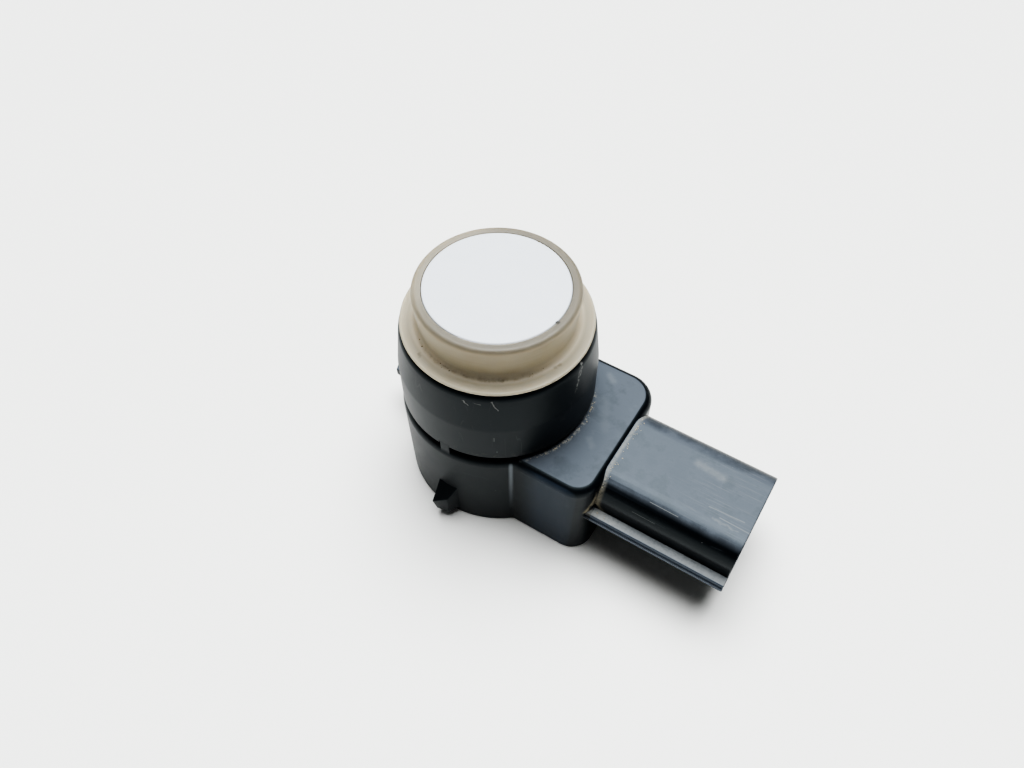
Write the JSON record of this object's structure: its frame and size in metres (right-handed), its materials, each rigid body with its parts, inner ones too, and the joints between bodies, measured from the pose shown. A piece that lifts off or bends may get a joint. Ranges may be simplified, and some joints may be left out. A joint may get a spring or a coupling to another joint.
{
  "type": "parking sensor",
  "caption": "Ultrasonic parking sensor: round white sensing face in a silicone ring, black front sleeve, and a black housing with latching lugs and a plug connector at its side.",
  "frame": {"origin": "on the barrel's axis at the flat rear face", "axes": "+Z is the sensing direction, from the rear face to the sensing face; +X points along the connector to its mouth"},
  "size_m": [0.0485, 0.0278, 0.0294],
  "materials": {
    "white_paint": "satin",
    "silicone": "matte",
    "gloss_black": "gloss",
    "satin_black": "satin",
    "cover_black": "matte",
    "piezo_ceramic": "matte",
    "damping_foam": "matte",
    "holder_plastic": "matte",
    "seal_rubber": "matte",
    "copper": "satin",
    "tinned_brass": "satin",
    "board_laminate": "satin",
    "chip_resin": "matte",
    "ferrite": "matte",
    "capacitor_case": "matte",
    "capacitor_ceramic": "matte"
  },
  "bodies": {
    "root": {"housing": "satin_black", "front_sleeve": "gloss_black", "decoupling_ring": "silicone", "membrane_cup": "white_paint", "piezo_disc": "piezo_ceramic", "damping_plug": "damping_foam", "transducer_holder": "holder_plastic", "seal_ring": "seal_rubber", "signal_lead": "copper", "ground_lead": "copper", "circuit_board": "board_laminate", "driver_chip": "chip_resin", "transformer_core": "ferrite", "transformer_winding": "copper", "storage_capacitor": "capacitor_case", "filter_capacitors": "capacitor_ceramic", "resistors": "chip_resin", "protection_diode": "chip_resin", "supply_pin": "tinned_brass", "data_pin": "tinned_brass", "ground_pin": "tinned_brass", "rear_cover": "cover_black"}
  },
  "joints": []
}
